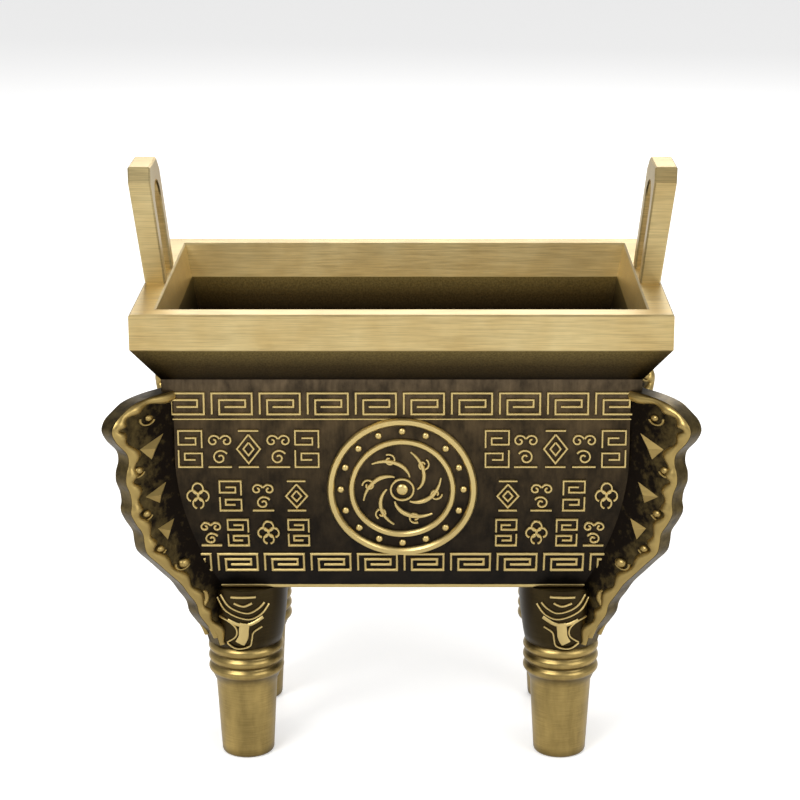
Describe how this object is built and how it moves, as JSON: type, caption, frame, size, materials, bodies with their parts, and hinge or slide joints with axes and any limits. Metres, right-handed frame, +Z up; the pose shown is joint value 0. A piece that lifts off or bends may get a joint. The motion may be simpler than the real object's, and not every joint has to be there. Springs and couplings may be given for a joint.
{
  "type": "rectangular ding cauldron",
  "caption": "Rectangular cast brass cauldron with a flat rim, two upright loop ears, curved relief walls, notched corner flanges and round moulded legs.",
  "frame": {"origin": "on the ground, under the middle of the cauldron", "axes": "+Z up, X along the long side from ear to ear, -Y towards the front wall"},
  "size_m": [0.289, 0.2004, 0.3035],
  "materials": {
    "pale_brass": "brushed pale brass",
    "relief_brass": "dark patina in the ground, rubbed bright on the relief",
    "flange_brass": "dark patina with rubbed edges",
    "leg_brass": "turned and brushed antique brass",
    "cavity_brass": "dark, uneven cast surface",
    "rubbed_brass": "relief worn bright",
    "steel": "plain zinc-dull steel"
  },
  "bodies": {
    "root": {"rim_frame": "pale_brass", "front_panel": "relief_brass", "right_panel": "relief_brass", "rear_panel": "relief_brass", "left_panel": "relief_brass", "floor_plate": "cavity_brass", "ear_right": "pale_brass", "ear_left": "pale_brass", "flange_front_left": "flange_brass", "leg_front_left": "leg_brass", "leg_washer_front_left": "steel", "leg_bolt_front_left": "steel", "flange_front_right": "flange_brass", "leg_front_right": "leg_brass", "leg_washer_front_right": "steel", "leg_bolt_front_right": "steel", "flange_rear_right": "flange_brass", "leg_rear_right": "leg_brass", "leg_washer_rear_right": "steel", "leg_bolt_rear_right": "steel", "flange_rear_left": "flange_brass", "leg_rear_left": "leg_brass", "leg_washer_rear_left": "steel", "leg_bolt_rear_left": "steel", "ear_screw_left_front": "steel", "ear_screw_left_rear": "steel", "ear_screw_right_front": "steel", "ear_screw_right_rear": "steel"}
  },
  "joints": []
}
